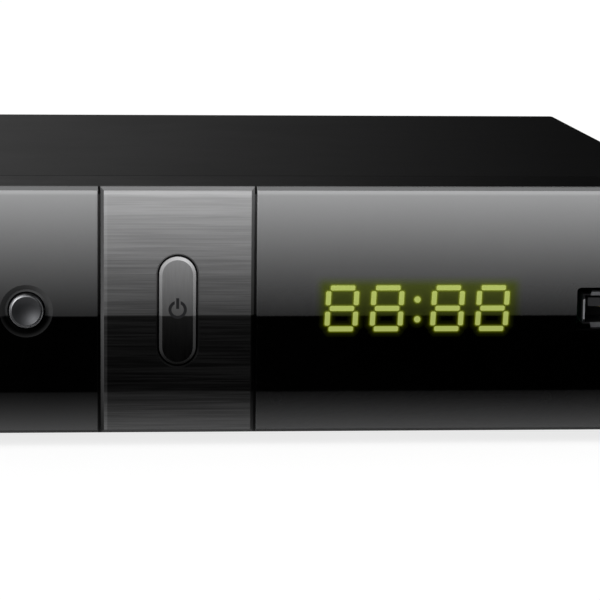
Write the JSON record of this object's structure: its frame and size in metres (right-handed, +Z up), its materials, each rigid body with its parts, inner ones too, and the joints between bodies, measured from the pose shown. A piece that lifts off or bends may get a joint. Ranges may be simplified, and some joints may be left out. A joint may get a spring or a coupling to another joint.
{
  "type": "digital tv receiver",
  "caption": "Low set-top box with a bent steel cover, a front split into fading silver-black panels, a lit clock display, a tall power key, a round key and rear sockets.",
  "frame": {"origin": "middle of the box on the surface under the feet", "axes": "+X to the right seen from the front, +Y to the back, +Z up"},
  "size_m": [0.1976, 0.1596, 0.049],
  "materials": {
    "cover_coat": "fine black powder coat",
    "sheet_steel": "zinc-plated sheet",
    "foot_rubber": "matt rubber",
    "dark_screw": "blackened screw",
    "steel_screw": "bright zinc",
    "front_plastic": "fine texture",
    "fascia_finish": "satin, fading from silver to black and back",
    "plate_metal": "brushed across, tinted from silver to black and back",
    "window_acrylic": "smoked acrylic, fading from grey to black",
    "power_key_finish": "satin silver fading to black",
    "select_key_finish": "satin silver",
    "switch_plastic": "moulded",
    "plunger_plastic": "moulded",
    "board_green": "solder mask over glass fibre",
    "board_tan": "paper laminate",
    "display_black": "matt",
    "display_lit": "lit yellow-green",
    "lens_plastic": "dark infrared filter",
    "socket_steel": "nickel plate",
    "socket_plastic": "moulded",
    "contact_gold": "gold flash",
    "plug_nylon": "natural nylon",
    "ribbon_grey": "laminated flat cable",
    "post_brass": "turned",
    "chip_black": "moulded epoxy",
    "sink_dark": "black anodised",
    "sink_bright": "extruded",
    "can_sleeve": "printed sleeve, plain",
    "big_can_sleeve": "plain blue sleeve",
    "small_can_sleeve": "plain green sleeve",
    "tin_plate": "tin-plated can",
    "phono_plate": "pale gold plate",
    "phono_yellow": "moulded",
    "phono_white": "moulded",
    "phono_red": "moulded",
    "phono_orange": "moulded",
    "card_sheet": "insulating card",
    "ferrite": "ground ferrite",
    "winding_tape": "yellow polyester tape",
    "choke_copper": "enamelled copper",
    "fuse_glass": "glass tube with plated ends",
    "wire_red": "sleeved wire",
    "wire_blue": "sleeved wire"
  },
  "bodies": {
    "chassis": {"top_cover": "cover_coat", "chassis_tray": "sheet_steel", "rubber_feet": "foot_rubber", "cover_screws": "dark_screw", "front_bezel": "front_plastic", "left_fascia": "fascia_finish", "centre_plate": "plate_metal", "display_window": "window_acrylic", "power_switch": "switch_plastic", "select_switch": "switch_plastic", "front_board": "board_green", "front_board_screws": "steel_screw", "display_module": "display_black", "display_segments": "display_lit", "display_spacer": "switch_plastic", "ir_receiver": "lens_plastic", "usb_shell": "socket_steel", "usb_tongue": "socket_plastic", "usb_contacts": "contact_gold", "front_ribbon": "ribbon_grey", "ribbon_sockets": "plug_nylon", "main_board": "board_green", "standoffs": "post_brass", "board_screws": "steel_screw", "processor": "chip_black", "processor_heatsink": "sink_dark", "memory_chips": "chip_black", "main_capacitors": "can_sleeve", "tuner_can": "tin_plate", "aerial_input": "socket_steel", "aerial_output": "socket_steel", "hdmi_shell": "socket_steel", "hdmi_tongue": "socket_plastic", "phono_block": "socket_plastic", "phono_barrels": "phono_plate", "phono_insert_yellow": "phono_yellow", "phono_insert_white": "phono_white", "phono_insert_red": "phono_red", "phono_insert_orange": "phono_orange", "power_board": "board_tan", "insulation_sheet": "card_sheet", "transformer_core": "ferrite", "transformer_winding": "winding_tape", "bulk_capacitor": "big_can_sleeve", "output_capacitors": "small_can_sleeve", "power_heatsink": "sink_bright", "line_filter": "choke_copper", "fuse": "fuse_glass", "power_harness": "wire_red", "harness_sockets": "plug_nylon", "mains_inlet": "socket_plastic", "mains_pins": "socket_steel", "mains_switch_body": "switch_plastic", "switch_leads": "wire_blue"},
    "power_key": {"power_button": "power_key_finish", "power_switch_plunger": "plunger_plastic"},
    "select_key": {"select_button": "select_key_finish", "select_switch_plunger": "plunger_plastic"},
    "rocker": {"mains_rocker": "switch_plastic"}
  },
  "joints": [
    {"name": "power_press", "type": "slide", "parent": "chassis", "child": "power_key", "axis": [0, 1, 0], "range_m": [0, 0.0005], "stiffness_N_per_m": 2000, "springref_m": -0.0005},
    {"name": "select_press", "type": "slide", "parent": "chassis", "child": "select_key", "axis": [0, 1, 0], "range_m": [0, 0.0005], "stiffness_N_per_m": 2000, "springref_m": -0.0005},
    {"name": "rocker_tilt", "type": "hinge", "parent": "chassis", "child": "rocker", "pos_m": [-0.047, 0.06997, 0.022], "axis": [1, 0, 0], "range_deg": [-18, 0]}
  ]
}
